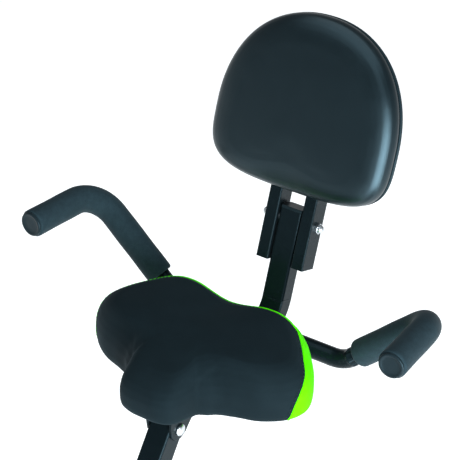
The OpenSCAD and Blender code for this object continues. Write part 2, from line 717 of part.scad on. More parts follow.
// The upright leaves the bracket level, under the saddle, and bends up to the backrest
back_up = [sin(back_lean), cos(back_lean)];
bend_corner_y = back_origin[1] - (back_origin[2] - run_height) / back_up[1] * back_up[0];
bend_trim = bend_radius * tan((90 - back_lean) / 2);
module backrest_upright() color(gloss_black) place() {
    run_start = -96;
    bend_start = bend_corner_y - bend_trim;
    bend_end_z = -(back_origin[2] - run_height) / cos(back_lean) + bend_trim;
    difference() {
        union() {
            translate([0, run_start, run_height]) rotate([-90, 0, 0])
                box_tube(upright_width, upright_depth, bend_start - run_start, tube_wall);
            translate([0, bend_start, run_height + bend_radius]) rotate([90, 0, 90])
                rotate([0, 0, -90]) rotate_extrude(angle = 90 - back_lean, $fn = 96)
                    translate([bend_radius, 0]) box_section(upright_depth, upright_width, tube_wall);
            along_back() translate([0, 0, bend_end_z])
                box_tube(upright_width, upright_depth, upright_top - bend_end_z, tube_wall);
            // weld beads at both ends of the bend
            translate([0, bend_start - 1, run_height]) rotate([-90, 0, 0]) weld_bead();
            along_back() translate([0, 0, bend_end_z - 1]) weld_bead();
        }
        along_back() {
            cross_pin(-40, 80, 4.1);
            for (z = [-50, -25]) translate([0, 0, z]) cross_pin(-40, 80, 4.1);
        }
        // the saddle's rear stud goes through the level run
        translate([0, -60, run_height]) cylinder(r = 4.2, h = 40);
    }
}
module weld_bead() box_tube(upright_width + 0.4, upright_depth + 0.4, 2, tube_wall + 0.4, 3.2);
module box_section(width, depth, wall) difference() {
    rounded_square(width, depth, 3);
    rounded_square(width - 2 * wall, depth - 2 * wall, 3 - wall / 2);
}
module rounded_square(width, depth, radius) {
    square([width - 2 * radius, depth], center = true);
    square([width, depth - 2 * radius], center = true);
    for (x = [-1, 1], y = [-1, 1])
        translate([x * (width / 2 - radius), y * (depth / 2 - radius)]) circle(r = radius);
}
module upright_cap() color(plastic_black) place() along_back() translate([0, 0, upright_top]) {
    rounded_bar(upright_width, upright_depth, 4, 3);
    plug_gap = 2 * tube_wall + 0.2;
    translate([0, 0, -9]) rounded_bar(upright_width - plug_gap, upright_depth - plug_gap, 9.5, 2.2);
}

// Seat handles: out from the upright, up and out, then forward to the grips' ends
handle_corner = [133, 63, handle_z + 2];
grip_corner = [262, 61, 843];
grip_end = [grip_spread / 2, -60, 848];
handle_start = [upright_width / 2, handle_y, handle_z];
handle_bend = 46;
foam_start = handle_corner + unit(grip_corner - handle_corner) * 33;
module seat_handles() color(gloss_black) place() both_sides()
    bent_tube([handle_start, handle_corner, grip_corner, grip_end], handle_bend,
        bar_diameter / 2, bar_diameter / 2 - 1.5);
module seat_grip() bent_tube([foam_start, grip_corner, grip_end], handle_bend,
    foam_diameter / 2, bar_diameter / 2 + 0.1);
module seat_grip_left() color(soft_black) place() seat_grip();
module seat_grip_right() color(soft_black) place() mirror([1, 0, 0]) seat_grip();
module seat_handle_caps() color(plastic_black) place() both_sides() {
    out = unit(grip_end - grip_corner);
    round_piece(grip_end - out * 20, grip_end + out, bar_diameter / 2 - 1.6);
    round_piece(grip_end, grip_end + out * 3, foam_diameter / 2 - 0.5);
}

// Saddle: a wide rear with two lobes and a short broad nose, in a thin green rear panel
saddle_top = 800;
saddle_base = 727;
lobe_radius = 66;
lobe_x = 70;
lobe_y = -43;
outer_radius = 50;
outer_y = -62;
nose_radius = 47;
nose_y = -148;
trim_thickness = 4;
// One rounded column of the saddle, drawn in by shrink on every side
module lobe(x, y, radius, top, shrink) translate([x, y, 0]) {
    side = radius - shrink;
    translate([0, 0, saddle_base + shrink]) cylinder(r1 = side - 9, r2 = side, h = 9);
    translate([0, 0, saddle_base + 9]) cylinder(r = side, h = top - saddle_base - 33);
    translate([0, 0, top - 24 - shrink]) cylinder(r1 = side, r2 = side - 9, h = 14);
    translate([0, 0, top - 10 - shrink]) cylinder(r1 = side - 9, r2 = side - 26, h = 10);
}
module saddle_solid(shrink) {
    hull($fn = 32) both_sides() {
        lobe(lobe_x, lobe_y, lobe_radius, saddle_top + 2, shrink);
        lobe(saddle_width / 2 - outer_radius, outer_y, outer_radius, saddle_top, shrink);
    }
    hull($fn = 32) {
        lobe(0, lobe_y - 32, lobe_radius - 6, saddle_top, shrink);
        lobe(0, nose_y, nose_radius, saddle_top - 12, shrink);
    }
}
// Everything behind the slanting seam
module behind_seam() translate([-300, -22, saddle_top + 4]) rotate([-44, 0, 0])
    translate([0, 0, -300]) cube([600, 300, 400]);
module saddle_recess() translate([-70, -152, saddle_base - 10]) cube([140, 152, 21]);
module saddle_trim() color(lime) place() intersection() {
    difference() {
        saddle_solid(0);
        saddle_solid(trim_thickness);
        saddle_recess();
    }
    behind_seam();
}
module saddle_cushion() color(soft_black) place() difference() {
    union() {
        difference() {
            saddle_solid(0);
            behind_seam();
        }
        saddle_solid(trim_thickness);
    }
    saddle_recess();
}
// Moulded base plate under the padding, on the bracket
module saddle_pan() color(plastic_black) place() difference() {
    translate([0, 0, bracket_top]) linear_extrude(saddle_base + 10.8 - bracket_top) polygon([
        [-69.8, -0.2], [69.8, -0.2], [69.8, -100], [40, -151.8], [-40, -151.8], [-69.8, -100]]);
    for (y = saddle_stud_y) translate([0, y, bracket_top - 1]) cylinder(r = 4, h = 12);
}

// ---------------------------------------------------------------- backrest

pad_bottom = 45;
pad_low = 80;
pad_tilt = 0.8;
pad_back = -6.5;
board_thickness = 10;
cushion_thickness = 34;
// The pad's frame leans a little further back than the bars
module along_pad() along_back() rotate([-pad_tilt, 0, 0]) children();
function signed_pow(value, power) = sign(value) * pow(abs(value), power);
// Outline of the pad: widest pad_low above its bottom, squarer below that and rounder above
function pad_outline(inset) = [for (a = [0:5:355])
    let (up = sin(a) >= 0, power = up ? 0.96 : 0.53,
        half_height = (up ? pad_height - pad_low : pad_low) - inset)
    [(pad_width / 2 - inset) * signed_pow(cos(a), power),
     pad_bottom + pad_low + half_height * signed_pow(sin(a), power)]];
module pad_slab(back, thickness, inset)
    translate([0, back, 0]) rotate([90, 0, 0]) linear_extrude(thickness) polygon(pad_outline(inset));
// The bars' places, and the holes for the screws that hold the pad
module at_bars() both_sides() translate([bar_gap + bar_width / 2, 0, 0]) children();
module pad_screw_holes() at_bars() for (z = pad_screw_heights)
    translate([0, 30, z]) rotate([90, 0, 0]) cylinder(r = 3.1, h = 60);
// Moulded back shell under the padding
module backrest_board() color(plastic_black) place() difference() {
    along_pad() pad_slab(pad_back, board_thickness, 3);
    along_back() pad_screw_holes();
}
module backrest_cushion() color(soft_black) place() along_pad() {
    pad_slab(pad_back - board_thickness, 20, 0);
    pad_slab(pad_back - board_thickness - 20, cushion_thickness - 26, 5);
    pad_slab(pad_back - board_thickness - cushion_thickness + 6, 6, 14);
}
bars_top = 165;
bars_bottom = -58;
pad_screw_heights = [70, 140];
// Two closed tubes, cut away at the front where the back shell seats on them
module backrest_bars() color(gloss_black) place() difference() {
    along_back() at_bars() translate([0, 0, bars_bottom]) {
        box_tube(bar_width, bar_depth, bars_top - bars_bottom, tube_wall, 2);
        for (z = [0.01, bars_top - bars_bottom - 1.51])
            translate([0, 0, z]) rounded_bar(bar_width - 1.2, bar_depth - 1.2, 1.5, 1);
    }
    along_back() cross_pin(-60, 120, 4.1);
    along_back() pad_screw_holes();
    along_pad() translate([-60, pad_back - 100, pad_bottom - 0.5]) cube([120, 100, 300]);
}
module backrest_fasteners() color(zinc) place() along_back() {
    outer_face = bar_gap + bar_width;
    cross_pin(-outer_face, 2 * outer_face, 4);
    both_sides() {
        translate([outer_face, 0, 0]) cap_nut(13, 9);
        cross_pin(upright_width / 2 + 0.2, bar_gap - upright_width / 2 - 0.4, 9);
    }
    at_bars() for (z = pad_screw_heights) translate([0, bar_depth / 2, z]) rotate([90, 0, 0]) {
        cylinder(r = 3, h = 25);
        translate([0, 0, -4]) cylinder(r1 = 3.5, r2 = 6, h = 4);
    }
}

main_tube();
front_foot_tube();
front_foot_caps();
front_foot_fasteners();
seat_tube_bush();
housing_left();
housing_right();
housing_screws();
bottom_bracket_cups();
flywheel_bracket();
flywheel_axle();
drive_belt();
fold_bolt();
fold_knob();
seat_knob();
transport_wheel_left();
transport_wheel_right();
pivot_plates();
pivot_bolt();
rear_leg();
rear_foot_tube();
rear_foot_caps();
rear_foot_fasteners();
console_post();
handlebar();
handlebar_grips();
handlebar_clamp();
pulse_sensors();
console_case();
console_screen();
console_button();
knob_base();
tension_knob();
crank_axle();
crank_arm_left();
crank_arm_right();
drive_pulley();
pedal_spindles();
pedal_left();
pedal_right();
pedal_strap_left();
pedal_strap_right();
flywheel();
magnet_bracket();
seat_post();
seat_bracket();
seat_fasteners();
backrest_upright();
upright_cap();
seat_handles();
seat_grip_left();
seat_grip_right();
seat_handle_caps();
saddle_pan();
saddle_cushion();
saddle_trim();
backrest_bars();
backrest_board();
backrest_cushion();
backrest_fasteners();
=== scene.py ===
"""The looks of a folding exercise bike: camera, light, materials and soft pieces round the CAD frame.

Everything is in metres in the frame's own axes: +Z up, the rider faces -Y, the rider's left is +X.
"""

import json
import math

import bmesh
import bpy
import numpy as np
from mathutils import Matrix, Vector
from mathutils.bvhtree import BVHTree


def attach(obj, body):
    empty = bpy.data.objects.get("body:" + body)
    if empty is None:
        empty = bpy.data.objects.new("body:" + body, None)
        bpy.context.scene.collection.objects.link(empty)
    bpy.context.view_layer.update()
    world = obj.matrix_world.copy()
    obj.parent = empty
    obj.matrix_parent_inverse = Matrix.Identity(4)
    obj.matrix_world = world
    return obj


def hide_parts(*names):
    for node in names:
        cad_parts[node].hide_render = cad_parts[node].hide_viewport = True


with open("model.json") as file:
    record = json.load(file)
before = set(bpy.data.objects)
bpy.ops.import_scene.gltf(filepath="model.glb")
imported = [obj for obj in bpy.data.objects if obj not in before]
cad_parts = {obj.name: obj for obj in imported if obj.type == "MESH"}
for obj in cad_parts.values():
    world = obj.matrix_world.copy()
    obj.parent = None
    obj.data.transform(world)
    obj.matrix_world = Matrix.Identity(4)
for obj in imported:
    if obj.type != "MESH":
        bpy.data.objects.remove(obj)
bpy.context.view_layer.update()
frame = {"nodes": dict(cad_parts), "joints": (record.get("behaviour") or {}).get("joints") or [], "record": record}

MM = 0.001
NODES = frame["nodes"]
JOINTS = {joint["name"]: joint for joint in frame["joints"]}

# The seat is drawn from a point on the floor, 144 mm in front of the backrest's pivot.
BACK_PIVOT = Vector(JOINTS["backrest_tilt"]["pos_m"])
SEAT_ORIGIN = Vector((0, BACK_PIVOT.y - 144 * MM, 0))
PAD_LEAN = math.radians(19.9 + 0.8)


def seat_point(x, y, z):
    """A point of the seat's own drawing, in millimetres, as a place in the frame."""
    return SEAT_ORIGIN + MM * Vector((x, y, z))


# ---------------------------------------------------------------- shader helpers


class Shader:
    """A material's node tree, with one short call for each kind of node that the materials use."""

    def __init__(self, name):
        self.material = bpy.data.materials.new(name)
        self.material.use_nodes = True
        self.tree = self.material.node_tree
        self.surface = self.tree.nodes["Principled BSDF"]
        self.place = self.node("ShaderNodeTexCoord").outputs["Object"]

    def node(self, kind, **settings):
        made = self.tree.nodes.new(kind)
        for key, value in settings.items():
            setattr(made, key, value)
        return made

    def feed(self, made, **inputs):
        """Sets or links a node's inputs, named with underscores for spaces."""
        for key, value in inputs.items():
            socket = made.inputs[key.replace("_", " ")]
            if isinstance(value, bpy.types.NodeSocket):
                self.tree.links.new(value, socket)
            else:
                socket.default_value = value
        return made

    def stretched(self, stretch):
        mapping = self.node("ShaderNodeMapping")
        return self.feed(mapping, Vector=self.place, Scale=stretch).outputs["Vector"]

    def noise(self, size, detail=3.0, rough=0.55, stretch=None):
        """Noise whose features are about `size` metres."""
        at = self.stretched(stretch) if stretch else self.place
        made = self.node("ShaderNodeTexNoise")
        self.feed(made, Vector=at, Scale=1 / size, Detail=detail, Roughness=rough)
        return made.outputs["Fac"]

    def cells(self, size, feature="F1", randomness=1.0):
        made = self.node("ShaderNodeTexVoronoi", feature=feature)
        self.feed(made, Vector=self.place, Scale=1 / size, Randomness=randomness)
        return made.outputs["Distance"]

    def waves(self, size, direction, distortion=0.0):
        made = self.node("ShaderNodeTexWave", wave_type="BANDS", bands_direction=direction)
        self.feed(made, Vector=self.place, Scale=0.314 / size, Distortion=distortion)
        return made.outputs["Fac"]

    def math(self, operation, a, b=0.0):
        made = self.node("ShaderNodeMath", operation=operation)
        for socket, value in zip(made.inputs, (a, b)):
            if isinstance(value, bpy.types.NodeSocket):
                self.tree.links.new(value, socket)
            else:
                socket.default_value = value
        return made.outputs["Value"]

    def spread(self, value, low, high, start=0.0, end=1.0):
        """Maps value from start..end to low..high, held at both ends."""
        made = self.node("ShaderNodeMapRange")
        self.feed(made, Value=value, From_Min=start, From_Max=end, To_Min=low, To_Max=high)
        return made.outputs["Result"]

    def mix(self, share, a, b):
        made = self.node("ShaderNodeMix", data_type="RGBA")
        for socket, value in zip((made.inputs[0], made.inputs[6], made.inputs[7]), (share, a, b)):
            if isinstance(value, bpy.types.NodeSocket):
                self.tree.links.new(value, socket)
            else:
                socket.default_value = value
        return made.outputs[2]

    def bump(self, height, depth, strength=1.0, over=None):
        made = self.node("ShaderNodeBump")
        self.feed(made, Height=height, Distance=depth, Strength=strength)
        if over:
            self.feed(made, Normal=over)
        return made.outputs["Normal"]

    def rounded(self, width):
        """The surface's direction as if every edge were rounded over."""
        made = self.node("ShaderNodeBevel", samples=4)
        return self.feed(made, Radius=width).outputs["Normal"]

    def edges(self, width, start, end):
        """1 along worn outer edges and 0 on open faces, from how far a rounded normal turns."""
        across = self.node("ShaderNodeVectorMath", operation="DOT_PRODUCT")
        self.tree.links.new(self.rounded(width), across.inputs[0])
        flat = self.node("ShaderNodeNewGeometry").outputs["Normal"]
        self.tree.links.new(flat, across.inputs[1])
        turn = self.math("SUBTRACT", 1.0, across.outputs["Value"])
        return self.spread(turn, 0.0, 1.0, start, end)

    def finish(self, **inputs):
        self.feed(self.surface, **inputs)
        return self.material


def grey(value, tint=(0.5, 0.93, 1.15)):
    """A near-neutral colour with the cool cast of black paint and plastic under studio light."""
    return tuple(value * part for part in tint) + (1.0,)


# The cast of reflections on dark materials
COOL = (0.55, 0.85, 1.0, 1.0)

# ---------------------------------------------------------------- materials


def gloss_black_paint():
    s = Shader("gloss_black_paint")
    cloud = s.noise(0.03)
    worn = s.math("MULTIPLY", s.edges(0.0012, 0.02, 0.25), s.spread(s.noise(0.006), 0, 1, 0.5, 0.72))
    colour = s.mix(cloud, grey(0.0055), grey(0.009))
    colour = s.mix(s.math("MULTIPLY", worn, 0.6), colour, grey(0.12))
    peel = s.bump(s.noise(0.0016, detail=1.5), 0.00005, 0.35, over=s.rounded(0.0012))
    return s.finish(
        Base_Color=colour,
        Roughness=s.spread(s.noise(0.05, detail=5), 0.2, 0.32, 0.3, 0.7),
        Normal=peel,
        Specular_IOR_Level=0.12,
        Specular_Tint=COOL,
    )


def plated(name, colour, rough, scratch):
    """Bright metal with a soft cloudy film and fine scratches along one direction."""
    s = Shader(name)
    lines = s.noise(0.0006, detail=2, stretch=scratch)
    cloud = s.noise(0.012, detail=4)
    dull = s.mix(cloud, colour, tuple(part * 0.78 for part in colour[:3]) + (1.0,))
    return s.finish(
        Base_Color=dull,
        Metallic=1.0,
        Roughness=s.spread(cloud, rough * 0.8, rough * 1.35, 0.25, 0.75),
        Normal=s.bump(lines, 0.00004, 0.4, over=s.rounded(0.0008)),
    )


def moulded(name, colour, rough, grain_size=0.0009, grain=0.00006):
    """Moulded plastic: fine spark-eroded grain, soft blotches and lighter rubbed edges."""
    s = Shader(name)
    rubbed = s.math("MULTIPLY", s.edges(0.001, 0.02, 0.3), s.noise(0.01, detail=4))
    lighter = tuple(min(1.0, part * 1.5 + 0.012) for part in colour[:3]) + (1.0,)
    deeper = tuple(part * 0.82 for part in colour[:3]) + (1.0,)
    body = s.mix(s.noise(0.04, detail=4), deeper, colour)
    texture = s.math("ADD", s.noise(grain_size, detail=3), s.cells(grain_size * 1.4))
    return s.finish(
        Base_Color=s.mix(rubbed, body, lighter),
        Roughness=s.spread(s.noise(0.02, detail=4), rough - 0.05, rough + 0.08, 0.3, 0.7),
        Normal=s.bump(texture, grain, 0.6, over=s.rounded(0.001)),
        Specular_IOR_Level=0.25,
        Specular_Tint=COOL,
    )


def black_vinyl():
    """Satin vinyl with a fine leather grain: small cells with rounded tops, over soft waviness."""
    s = Shader("black_vinyl")
    grain = s.spread(s.cells(0.0013, feature="DISTANCE_TO_EDGE"), 0, 1, 0, 0.35)
    pores = s.noise(0.0007, detail=2)
    surface = s.bump(grain, 0.00007, 0.5, over=s.bump(pores, 0.00004, 0.4))
    colour = s.mix(s.noise(0.05, detail=4), grey(0.006), grey(0.0085))
    # Painted shade: the grooves between the grain's cells are darkened.
    colour = s.mix(s.spread(grain, 0.35, 0.0), colour, grey(0.003))
    return s.finish(
        Base_Color=colour,
        Roughness=s.spread(s.noise(0.03, detail=5), 0.3, 0.37, 0.3, 0.7),
        Normal=surface,
        Specular_IOR_Level=0.5,
        Specular_Tint=COOL,
    )


def knitted(name, light, dark, gloss_tint=COOL, yarn=0.0011, rough=0.7):
    """Stretch cover fabric: a fine diagonal rib crossed by a finer one, slightly uneven yarns."""
    s = Shader(name)
    rib = s.waves(yarn, "DIAGONAL", distortion=0.6)
    cross = s.waves(yarn * 0.7, "Y", distortion=0.5)
    weave = s.math("ADD", rib, s.math("MULTIPLY", cross, 0.6))
    fuzz = s.noise(yarn * 0.8, detail=4, rough=0.7)
    colour = s.mix(s.spread(s.noise(0.035, detail=5), 0, 1, 0.3, 0.7), dark, light)
    # Painted shade: the weave's low hollows are darkened towards a deeper copy of the dark colour.
    hollow = tuple(part * 0.72 for part in dark[:3]) + (1.0,)
    colour = s.mix(s.spread(weave, 0.5, 0.0, 0.0, 0.7), colour, hollow)
    return s.finish(
        Base_Color=colour,
        Roughness=s.spread(fuzz, rough - 0.08, rough + 0.1),
        Normal=s.bump(weave, 0.00009, 0.45, over=s.bump(fuzz, 0.00006, 0.4)),
        Sheen_Weight=0.04,
        Sheen_Roughness=0.5,
        Sheen_Tint=gloss_tint,
        Specular_IOR_Level=0.06,
        Specular_Tint=gloss_tint,
    )


def black_foam():
    """Closed-cell foam: matt skin with open pores and a faint mottle."""
    s = Shader("black_foam")
    pores = s.spread(s.cells(0.0016), 0, 1, 0.0, 0.45)
    mottle = s.noise(0.007, detail=6, rough=0.7)
    colour = s.mix(s.spread(mottle, 0, 1, 0.3, 0.7), grey(0.022), grey(0.034))
    # Painted shade: the pores' pits are darkened towards a deeper grey.
    colour = s.mix(s.spread(pores, 0.5, 0.0), colour, grey(0.011))
    return s.finish(
        Base_Color=colour,
        Roughness=s.spread(mottle, 0.66, 0.84),
        Normal=s.bump(pores, 0.00012, 0.5, over=s.bump(mottle, 0.0004, 0.25)),
        Sheen_Weight=0.05,
        Sheen_Roughness=0.4,
        Specular_IOR_Level=0.12,
        Specular_Tint=COOL,
    )


def black_rubber():
    s = Shader("black_rubber")
    dust = s.spread(s.noise(0.012, detail=6, rough=0.7), 0, 1, 0.45, 0.75)
    return s.finish(
        Base_Color=s.mix(s.math("MULTIPLY", dust, 0.5), grey(0.011), grey(0.045)),
        Roughness=s.spread(dust, 0.62, 0.85),
        Normal=s.bump(s.noise(0.0012, detail=4), 0.00008, 0.5),
        Specular_IOR_Level=0.25,
    )


def brushed_ring_steel(name, colour, rough):
    """Turned steel: fine noise stretched across the axle, so that it reads as lathe marks."""
    s = Shader(name)
    marks = s.noise(0.0005, detail=2, stretch=(6.0, 0.5, 0.5))
    film = s.noise(0.02, detail=5)
    oily = tuple(part * 0.7 for part in colour[:3]) + (1.0,)
    return s.finish(
        Base_Color=s.mix(film, colour, oily),
        Metallic=1.0,
        Roughness=s.spread(film, rough * 0.8, rough * 1.3, 0.3, 0.7),
        Normal=s.bump(marks, 0.00005, 0.5),
    )


def grey_iron():
    s = Shader("grey_iron")
    cast = s.noise(0.0022, detail=6, rough=0.65)
    stain = s.spread(s.noise(0.03, detail=5), 0, 1, 0.45, 0.8)
    return s.finish(
        Base_Color=s.mix(stain, (0.16, 0.165, 0.17, 1), (0.09, 0.085, 0.08, 1)),
        Metallic=0.85,
        Roughness=s.spread(cast, 0.42, 0.62),
        Normal=s.bump(cast, 0.00015, 0.5),
    )


def display_glass():
    s = Shader("screen")
    smear = s.noise(0.02, detail=5)
    return s.finish(
        Base_Color=s.mix(smear, (0.16, 0.19, 0.17, 1), (0.2, 0.235, 0.2, 1)),
        Roughness=s.spread(smear, 0.12, 0.24, 0.3, 0.7),
        Coat_Weight=1.0,
        Coat_Roughness=0.04,
    )


def studio_floor():
    s = Shader("studio_floor")
    return s.finish(
        Base_Color=s.mix(s.noise(0.4, detail=4), (0.86, 0.86, 0.86, 1), (0.9, 0.9, 0.9, 1)),
        Roughness=0.75,
        Emission_Color=(1, 1, 1, 1),
        Emission_Strength=0.62,
    )


LIME = (0.105, 0.9, 0.001, 1.0)
LIME_DEEP = (0.08, 0.76, 0.001, 1.0)
MATERIALS = {
    "gloss_black_paint": gloss_black_paint(),
    "bright_zinc": plated("bright_zinc", (0.74, 0.77, 0.8, 1), 0.24, (1, 1, 6)),
    "polished_steel": plated("polished_steel", (0.78, 0.79, 0.8, 1), 0.14, (6, 1, 1)),
    "machined_steel": brushed_ring_steel("machined_steel", (0.46, 0.47, 0.48, 1), 0.32),
    "grey_iron": grey_iron(),
    "black_plastic": moulded("black_plastic", grey(0.012), 0.42),
    "graphite_plastic": moulded("graphite_plastic", grey(0.045), 0.38),
    "lime_plastic": moulded("lime_plastic", LIME, 0.35),
    "screen": display_glass(),
    "black_rubber": black_rubber(),
    "black_foam": black_foam(),
    "black_vinyl": black_vinyl(),
    "black_fabric": knitted("black_fabric", grey(0.0118), grey(0.0092)),
    "lime_fabric": knitted("lime_fabric", LIME, LIME_DEEP, gloss_tint=LIME),
}


# ---------------------------------------------------------------- mesh helpers


def add_mesh(name, points, faces, slot, body):
    """A new smooth-shaded piece that rides on a body and takes its finish from a slot."""
    mesh = bpy.data.meshes.new(name)
    mesh.from_pydata([tuple(p) for p in points], [], faces)
    mesh.validate()
    piece = bpy.data.objects.new(name, mesh)
    bpy.context.scene.collection.objects.link(piece)
    return dress(piece, slot, body)


def dress(piece, slot, body):
    piece.data.materials.clear()
    piece.data.materials.append(MATERIALS[slot])
    piece.data.shade_smooth()
    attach(piece, body)
    return piece


def facing_out(points, faces):
    """The faces, turned so that the closed mesh's volume is positive."""
    p = np.array([tuple(v) for v in points])
    volume = 0.0
    for face in faces:
        for i in range(1, len(face) - 1):
            volume += np.dot(p[face[0]], np.cross(p[face[i]], p[face[i + 1]]))
    return faces if volume > 0 else [tuple(reversed(face)) for face in faces]


def loft(rings):
    """Closed rings of points joined in order, with the first and the last filled."""
    count = len(rings[0])
    points = [p for ring in rings for p in ring]
    faces = [tuple(reversed(range(count)))]
    for i in range(len(rings) - 1):
        for j in range(count):
            k = (j + 1) % count
            faces.append((i * count + j, i * count + k, (i + 1) * count + k, (i + 1) * count + j))
    faces.append(tuple(range((len(rings) - 1) * count, len(rings) * count)))
    return points, facing_out(points, faces)


def bent_path(corners, bend, step=4 * MM):
    """Points along straight runs whose corners are arcs of radius `bend`."""
    corners = [Vector(c) for c in corners]
    path = []
    reached = corners[0]
    for i in range(1, len(corners) - 1):
        into = (corners[i] - corners[i - 1]).normalized()
        out = (corners[i + 1] - corners[i]).normalized()
        turn = into.angle(out)
        trim = bend * math.tan(turn / 2)
        start = corners[i] - into * trim
        path += straight(reached, start, step)
        towards = (out - into * out.dot(into)).normalized()
        centre = start + towards * bend
        parts = max(2, round(turn * bend / step))
        for j in range(parts):
            angle = turn * j / parts
            path.append(centre - towards * bend * math.cos(angle) + into * bend * math.sin(angle))
        reached = corners[i] + out * trim
    return path + straight(reached, corners[-1], step) + [corners[-1]]


def straight(start, end, step):
    parts = max(1, round((end - start).length / step))
    return [start.lerp(end, i / parts) for i in range(parts)]


def sweep(path, radius_at, sides=48):
    """Rings of points round a path; radius_at takes the distance from the start and from the end."""
    lengths = np.cumsum([0] + [(b - a).length for a, b in zip(path, path[1:])])
    rings = []
    across = None
    for i, point in enumerate(path):
        ahead = (path[min(i + 1, len(path) - 1)] - path[max(i - 1, 0)]).normalized()
        if across is None:
            across = ahead.orthogonal().normalized()
        across = (across - ahead * across.dot(ahead)).normalized()
        up = ahead.cross(across)
        radius = radius_at(lengths[i], lengths[-1] - lengths[i])
        turns = [2 * math.pi * j / sides for j in range(sides)]
        rings.append([point + radius * (math.cos(t) * across + math.sin(t) * up) for t in turns])
    return rings


def joined(parts):
    """Several (points, faces) as one."""
    points = []
    faces = []
    for part_points, part_faces in parts:
        faces += [tuple(i + len(points) for i in face) for face in part_faces]
        points += part_points
    return points, faces


def lathe(name, profile, origin, axis, slot, body, sides=48):
    """A turned piece: profile is a list of (distance along the axis, radius), in millimetres."""
    axis = Vector(axis).normalized()
    across = axis.orthogonal().normalized()
    up = axis.cross(across)
    turns = [2 * math.pi * j / sides for j in range(sides)]
    rings = [
        [origin + MM * (d * axis + r * (math.cos(t) * across + math.sin(t) * up)) for t in turns]
        for d, r in profile
    ]
    return add_mesh(name, *loft(rings), slot, body)


def quad_sphere(divisions):
    """Unit directions and quads of a cube's grid pushed out to a sphere, with shared edges."""
    index = {}
    directions = []
    quads = []

    def corner(cell):
        if cell not in index:
            index[cell] = len(directions)
            tilted = [math.tan((c / divisions - 0.5) * math.pi / 2) for c in cell]
            directions.append(Vector(tilted).normalized())
        return index[cell]

    for axis in range(3):
        for side in (0, divisions):
            for i in range(divisions):
                for j in range(divisions):
                    quad = []
                    for a, b in ((i, j), (i + 1, j), (i + 1, j + 1), (i, j + 1)):
                        cell = [a, b]
                        cell.insert(axis, side)
                        quad.append(corner(tuple(cell)))
                    flip = (side == 0) != (axis == 1)
                    quads.append(tuple(reversed(quad)) if flip else tuple(quad))
    return directions, quads


def radius_by_angle(points):
    """A function from a direction's angle to the outline's distance, for a star-shaped outline."""
    points = np.array(points, float)
    angles = np.arctan2(points[:, 1], points[:, 0])
    order = np.argsort(angles)
    angles, radii = angles[order], np.hypot(*points[order].T)
    return lambda angle: float(np.interp(angle, angles, radii, period=2 * math.pi))


def smooth_closed(points, parts=8):
    """A closed Catmull-Rom curve through the points."""
    points = [Vector(p) for p in points]
    count = len(points)
    curve = []
    for i in range(count):
        a, b, c, d = (points[(i + k) % count] for k in (-1, 0, 1, 2))
        for j in range(parts):
            t = j / parts
            curve.append(
                0.5 * (2 * b + (c - a) * t + (2 * a - 5 * b + 4 * c - d) * t**2
                       + (3 * b - a - 3 * c + d) * t**3)
            )
    return curve


def smoothstep(value, start, end):
    share = min(1.0, max(0.0, (value - start) / (end - start)))
    return share * share * (3 - 2 * share)


def evened(shift, faces, rounds=30):
    """Each point's shift shared with its neighbours', as foam under a cover evens out its puckers."""
    corners = np.array(faces)
    before = np.roll(corners, 1, axis=1)
    count = np.bincount(corners.ravel(), minlength=len(shift))[:, None]
    for _ in range(rounds):
        total = np.zeros_like(shift)
        np.add.at(total, corners, shift[before])
        shift = (shift + total / count) / 2
    return shift


def puffed(points, faces, pressure, cap, frames=20):
    """The points after a short cloth simulation under inner pressure; none moves further than cap."""
    rest = np.array([tuple(p) for p in points])
    scene = bpy.context.scene
    mesh = bpy.data.meshes.new("cloth_form")
    mesh.from_pydata(rest.tolist(), [], faces)
    form = bpy.data.objects.new("cloth_form", mesh)
    scene.collection.objects.link(form)
    cloth = form.modifiers.new("Cloth", "CLOTH")
    settings = cloth.settings
    settings.use_pressure = True
    settings.uniform_pressure_force = pressure
    settings.mass = 0.4
    settings.tension_stiffness = settings.compression_stiffness = 40
    settings.shear_stiffness = 20
    settings.bending_stiffness = 8
    settings.effector_weights.gravity = 0
    cloth.point_cache.frame_start, cloth.point_cache.frame_end = 1, frames
    scene.frame_start, scene.frame_end = 1, frames
    for number in range(1, frames + 1):
        scene.frame_set(number)
    moved = form.evaluated_get(bpy.context.evaluated_depsgraph_get()).data
    shape = np.empty(len(rest) * 3)
    moved.vertices.foreach_get("co", shape)
    scene.frame_set(1)
    bpy.data.objects.remove(form)
    shift = shape.reshape(-1, 3) - rest
    length = np.maximum(np.linalg.norm(shift, axis=1, keepdims=True), 1e-9)
    return rest + evened(shift / length * cap * np.tanh(length / cap), faces)


def once_subdivided(name, points, faces):
    """A mesh with one level of subdivision applied."""
    mesh = bpy.data.meshes.new(name + "_coarse")
    mesh.from_pydata([tuple(p) for p in points], [], faces)
    holder = bpy.data.objects.new(name + "_coarse", mesh)
    bpy.context.scene.collection.objects.link(holder)
    holder.modifiers.new("Subdivision", "SUBSURF").levels = 1
    bpy.context.view_layer.update()
    fine = bpy.data.meshes.new_from_object(holder.evaluated_get(bpy.context.evaluated_depsgraph_get()))
    bpy.data.objects.remove(holder)
    return fine


# ---------------------------------------------------------------- saddle, in the seat's millimetres

SADDLE_CENTRE = Vector((0, -70))
# Half the outline, from the middle of the back round the left lobe to the tip of the nose
SADDLE_HALF = [
    (0, 18), (40, 22), (64, 25), (90, 21.5), (113, 10), (132, -9.5), (148.5, -32), (158.5, -58), (150, -85),
    (125, -107), (94, -119), (73, -128), (62, -137), (52, -146), (48, -161), (38.5, -181), (21, -189),
    (0, -190),
]
# The seam's highest line, from the middle to the side: across, back, up
CREST = np.array([
    (0, 0, 797), (40, 4, 797.5), (64, 7, 798), (86, 4, 797), (105, -3, 796), (120, -13, 795),
    (138, -31, 792),
])
# How far forward the seam curves below its crest, and how soon
SEAM_REACH = 57
SEAM_FALL = 21
SADDLE_BASE = 726.5
# Its top: the nose's height, the climb to the lobes, the hollow between them and their fall sideways
NOSE_TOP = 785
CLIMB = 21
HOLLOW = 3
LOBE_FALL = 11
